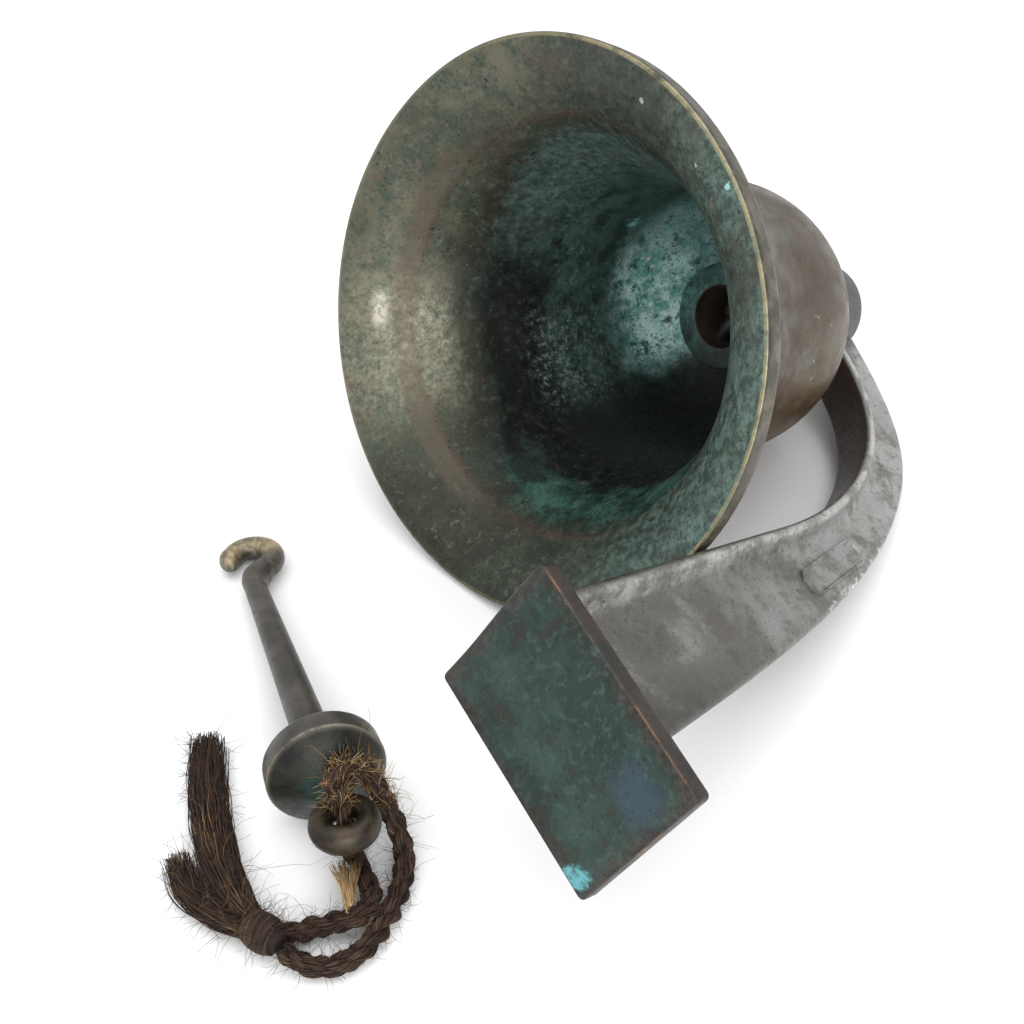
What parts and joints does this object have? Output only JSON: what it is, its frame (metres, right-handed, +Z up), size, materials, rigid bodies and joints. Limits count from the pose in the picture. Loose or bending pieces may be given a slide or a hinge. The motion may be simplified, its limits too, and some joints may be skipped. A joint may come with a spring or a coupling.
{
  "type": "ship bell",
  "caption": "Bracket-mounted bronze ship bell lying on its side, with its clapper taken out and laid beside it, a knotted rope lanyard through the clapper's eye.",
  "frame": {"origin": "centre of the footprint of the bell, its bracket and the clapper, on the table", "axes": "+X runs along the object's longest extent, from the bell's open mouth toward its crown and boss, +Y runs from the bracket's foot side toward the far side of the mouth, +Z up from the table, the object's shortest extent"},
  "size_m": [0.4785, 0.3469, 0.2371],
  "materials": {
    "bell_bronze": "aged",
    "bracket_bronze": "aged",
    "foot_bronze": "aged",
    "hanger_bronze": "aged",
    "clapper_bronze": "aged",
    "pin_steel": "satin",
    "washer_leather": "matte",
    "rope_fibre": "matte"
  },
  "bodies": {
    "bell_body": {"bell_lip": "bell_bronze", "bell_waist": "bell_bronze", "bell_crown": "bell_bronze", "bracket_arm": "bracket_bronze", "bracket_boss": "bracket_bronze", "bracket_foot": "foot_bronze", "crown_washer_outer": "washer_leather", "crown_washer_inner": "washer_leather", "clapper_hanger": "hanger_bronze", "hanger_pin": "pin_steel"},
    "clapper": {"clapper_hook": "clapper_bronze", "clapper_shank": "clapper_bronze", "clapper_ball": "clapper_bronze", "clapper_eye": "clapper_bronze", "rope_leg_over": "rope_fibre", "rope_leg_under": "rope_fibre", "rope_knot": "rope_fibre", "rope_tassel_main": "rope_fibre", "rope_tassel_side": "rope_fibre", "rope_tuft": "rope_fibre"}
  },
  "joints": [
    {"name": "clapper_swing", "type": "hinge", "parent": "bell_body", "child": "clapper", "pos_m": [-0.1279, 0.1228, 0.0067], "axis": [0, 0, 1], "range_deg": [-27, 27]}
  ]
}
